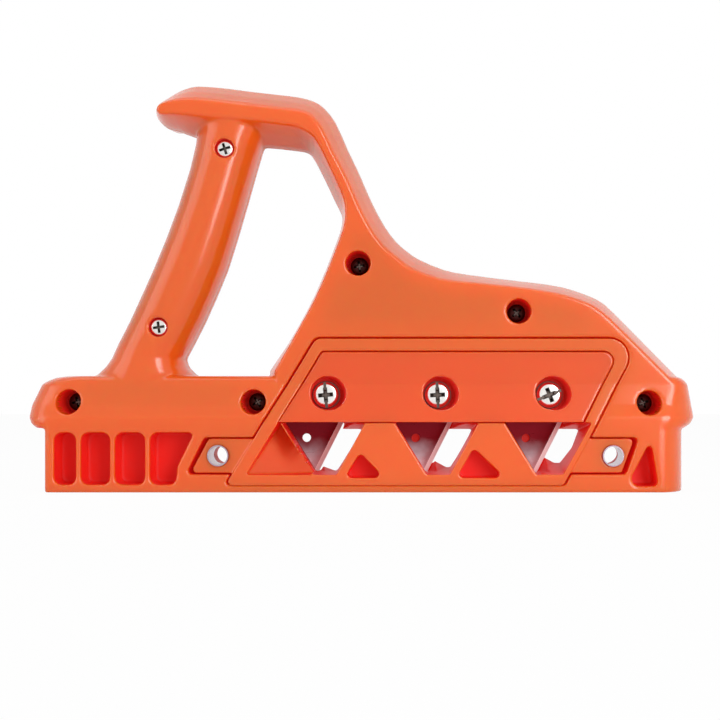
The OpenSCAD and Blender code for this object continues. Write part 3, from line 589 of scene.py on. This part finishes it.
# share of the radius, share of the height
headProfile = [(1.0, 0.0), (1.0, 0.5), (0.985, 0.62), (0.94, 0.78),
               (0.86, 0.9), (0.74, 0.965), (0.5, 0.99), (0.2, 1.0)]


def turnedRing(work, radius, out, sides=40):  # a ring of points round the screw's axis, which runs along y
    return [work.verts.new((radius * math.cos(2 * math.pi * k / sides), out,
                            radius * math.sin(2 * math.pi * k / sides))) for k in range(sides)]


def joinRings(work, first, second):
    count = len(first)
    for k in range(count):
        work.faces.new((first[k], first[(k + 1) % count], second[(k + 1) % count], second[k]))


def screwHead(radius, height):
    work = bmesh.new()
    rings = [turnedRing(work, radius * share, -height * up) for share, up in headProfile]
    for first, second in zip(rings, rings[1:]):
        joinRings(work, first, second)
    work.faces.new(rings[0][::-1])
    work.faces.new(rings[-1])
    bmesh.ops.recalc_face_normals(work, faces=work.faces)
    mesh = bpy.data.meshes.new("head")
    work.to_mesh(mesh)
    work.free()
    return mesh


def driveCutter(size, diameter):
    work = bmesh.new()
    arm, half = size["crossArm"] * diameter, size["crossHalf"] * diameter
    corners = [(arm, half), (half, half), (half, arm), (-half, arm), (-half, half), (-arm, half),
               (-arm, -half), (-half, -half), (-half, -arm), (half, -arm), (half, -half), (arm, -half)]
    top = -size["headHeight"] * 1.2
    foot = -size["headHeight"] + size["crossDepth"] * diameter
    near = [work.verts.new((x * 1.1, top, z * 1.1)) for x, z in corners]
    far = [work.verts.new((x * 0.5, foot, z * 0.5)) for x, z in corners]
    joinRings(work, near, far)
    work.faces.new(near)
    work.faces.new(far[::-1])
    if size["slotHalf"]:
        half, reach = size["slotHalf"] * diameter, diameter * 0.6
        foot = -size["headHeight"] + size["slotDepth"] * diameter
        corners = [(-half, -reach), (half, -reach), (half, reach), (-half, reach)]
        near = [work.verts.new((x, top, z)) for x, z in corners]
        far = [work.verts.new((p.co.x, foot, p.co.z)) for p in near]
        joinRings(work, near, far)
        work.faces.new(near)
        work.faces.new(far[::-1])
    bmesh.ops.recalc_face_normals(work, faces=work.faces)
    # the drive's walls take the second slot, the dark painted shade
    for face in work.faces:
        face.material_index = 1
    mesh = bpy.data.meshes.new("drive")
    work.to_mesh(mesh)
    work.free()
    return mesh


def threadedShank(work, radius, pitch, length):
    sides, steps = 20, 6
    rings = []
    for row in range(int(length / pitch * steps)):  # steps rings to each turn of the thread
        out = row * pitch / steps
        ring = []
        for k in range(sides):
            turn = (row / steps - k / sides) % 1
            cut = abs(turn - 0.5) * 2  # 0 at the crest, 1 in the groove
            reach = radius - cut * pitch * 0.45
            angle = 2 * math.pi * k / sides
            ring.append(work.verts.new((reach * math.cos(angle), out, reach * math.sin(angle))))
        rings.append(ring)
    tip = turnedRing(work, radius * 0.7, length, sides)
    rings.append(tip)
    for first, second in zip(rings, rings[1:]):
        joinRings(work, first, second)
    work.faces.new(rings[0][::-1])
    work.faces.new(tip)


def dressedScrew(nodeName, size, finish):
    low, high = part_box(nodeName)
    middle = Vector(((low.x + high.x) / 2, low.y + size["headHeight"], (low.z + high.z) / 2))
    diameter = high.x - low.x
    turn = math.radians(size["turns"][nodeName.split("_")[-1]])
    head = bpy.data.objects.new("head", screwHead(diameter / 2, size["headHeight"]))
    drive = bpy.data.objects.new("drive", driveCutter(size, diameter))
    for piece in (head, drive):
        scene.collection.objects.link(piece)
        piece.data.materials.append(finishes[finish])
        piece.data.materials.append(finishes["drive"])
    drive.rotation_euler = (0, -turn, 0)
    cut = head.modifiers.new("drive", "BOOLEAN")
    cut.operation = "DIFFERENCE"
    cut.solver = "EXACT"
    cut.use_self = True
    cut.object = drive
    bpy.context.view_layer.update()
    work = bmesh.new()
    work.from_mesh(appliedMesh(head, "cut head"))
    threadedShank(work, size["shank"], size["pitch"], high.y - middle.y)
    bmesh.ops.recalc_face_normals(work, faces=work.faces)
    bmesh.ops.translate(work, verts=work.verts, vec=middle)
    mesh = bpy.data.meshes.new("dressed_" + nodeName)
    work.to_mesh(mesh)
    work.free()
    mesh.materials.append(finishes[finish])
    mesh.materials.append(finishes["drive"])
    bpy.data.objects.remove(head)
    bpy.data.objects.remove(drive)
    screw = bpy.data.objects.new("dressed_" + nodeName, mesh)
    scene.collection.objects.link(screw)
    evenShading(screw)
    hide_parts(nodeName)
    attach(screw, body_of(nodes[nodeName])[0])


for name in nodes:
    if name.startswith("clamp_screw"):
        dressedScrew(name, clampScrew, "screw")
    elif name.startswith("grip_screw"):
        dressedScrew(name, shellScrew, "gripScrew")
    elif name.startswith("body_screw"):
        dressedScrew(name, shellScrew, "darkScrew")
print("screws dressed")


def honedBlade(nodeName):  # the bevel gets its own finish
    node = nodes[nodeName]
    mesh = appliedMesh(node, "honed_" + nodeName)
    mesh.materials.clear()
    mesh.materials.append(finishes["blade"])
    mesh.materials.append(finishes["bevel"])
    flat = max(mesh.polygons, key=lambda face: face.area if face.normal.y < 0 else 0).normal.copy()
    for face in mesh.polygons:
        lean = math.degrees(face.normal.angle(flat))
        face.material_index = 1 if 8 < lean < 30 else 0
    blade = bpy.data.objects.new("honed_" + nodeName, mesh)
    scene.collection.objects.link(blade)
    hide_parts(nodeName)
    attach(blade, body_of(node)[0])


for name in ("blade_rear", "blade_middle", "blade_front"):
    honedBlade(name)
print("blades honed")
